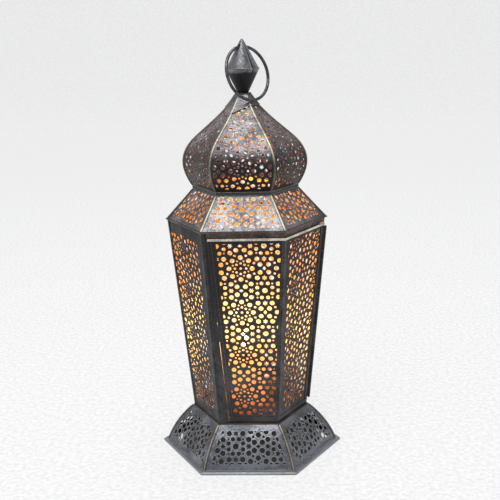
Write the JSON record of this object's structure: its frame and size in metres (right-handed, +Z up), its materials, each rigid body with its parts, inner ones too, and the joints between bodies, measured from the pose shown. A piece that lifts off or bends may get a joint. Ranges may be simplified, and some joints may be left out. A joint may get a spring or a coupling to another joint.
{
  "type": "candle lantern",
  "caption": "Hexagonal pierced-metal candle lantern with a flared base, bent corner-hinged door, onion dome, cone finial and carrying ring.",
  "frame": {"origin": "centre of the six-sided base, on the surface that the lantern stands on", "axes": "+Z up along the lantern's axis to the finial's tip; the front face with the door's free edge looks along -Y and the hinged corner is on +X"},
  "size_m": [0.2246, 0.1946, 0.5],
  "materials": {
    "dark_sheet": "aged gunmetal, gold paint inside",
    "dark_seam": "aged gunmetal",
    "bright_hem": "rubbed bright",
    "copper_band": "browned",
    "skirt_sheet": "aged blue grey",
    "roof_sheet": "aged light grey",
    "dome_sheet": "aged grey",
    "solder_seam": "cream solder",
    "finial_sheet": "aged grey",
    "wire": "bright wire",
    "inner_tin": "warm tin",
    "wax": "ivory wax",
    "cotton": "charred"
  },
  "bodies": {
    "lantern": {"base_rim": "skirt_sheet", "floor_plate": "inner_tin", "candle_cup": "inner_tin", "skirt_panel_1": "skirt_sheet", "skirt_panel_2": "skirt_sheet", "skirt_panel_3": "skirt_sheet", "skirt_panel_4": "skirt_sheet", "skirt_panel_5": "skirt_sheet", "skirt_panel_6": "skirt_sheet", "skirt_seams": "solder_seam", "body_panel_back_right": "dark_sheet", "body_panel_back": "dark_sheet", "body_panel_back_left": "dark_sheet", "body_panel_front_left": "dark_sheet", "door_stile": "dark_sheet", "door_stop": "dark_sheet", "stop_rivet": "dark_sheet", "bottom_ring": "dark_seam", "top_ring": "copper_band", "body_seams": "dark_seam", "frame_hinge_leaf": "dark_seam", "hinge_rod": "wire", "eave_rim": "copper_band", "roof_panel_1": "roof_sheet", "roof_panel_2": "roof_sheet", "roof_panel_3": "roof_sheet", "roof_panel_4": "roof_sheet", "roof_panel_5": "roof_sheet", "roof_panel_6": "roof_sheet", "roof_seams": "solder_seam", "neck_collar": "roof_sheet", "collar_rivet": "roof_sheet", "dome_gore_1": "dome_sheet", "dome_gore_2": "dome_sheet", "dome_gore_3": "dome_sheet", "dome_gore_4": "dome_sheet", "dome_gore_5": "dome_sheet", "dome_gore_6": "dome_sheet", "dome_seams": "solder_seam", "apex_cap": "dome_sheet", "neck_ring": "solder_seam", "finial_lower_cone": "finial_sheet", "finial_upper_cone": "finial_sheet"},
    "door": {"door_front_panel": "dark_sheet", "door_side_panel": "dark_sheet", "door_top_hem": "bright_hem", "door_bottom_hem": "dark_sheet", "door_edge_hem": "dark_sheet", "door_corner_seam": "dark_seam", "door_hinge_leaf": "dark_seam"},
    "ring": {"carry_ring": "wire"},
    "candle": {"candle": "wax", "wick": "cotton"}
  },
  "joints": [
    {"name": "door_hinge", "type": "hinge", "parent": "lantern", "child": "door", "pos_m": [0.07209, 0, 0.04962], "axis": [0.1011, 0, 0.9949], "range_deg": [0, 105]},
    {"name": "ring_swing", "type": "hinge", "parent": "lantern", "child": "ring", "pos_m": [0, 0, 0.491], "axis": [-0.7071, -0.7071, 0], "range_deg": [0, 328]},
    {"name": "candle_lift", "type": "slide", "parent": "lantern", "child": "candle", "axis": [0, 0, 1], "range_m": [0, 0.02]}
  ]
}
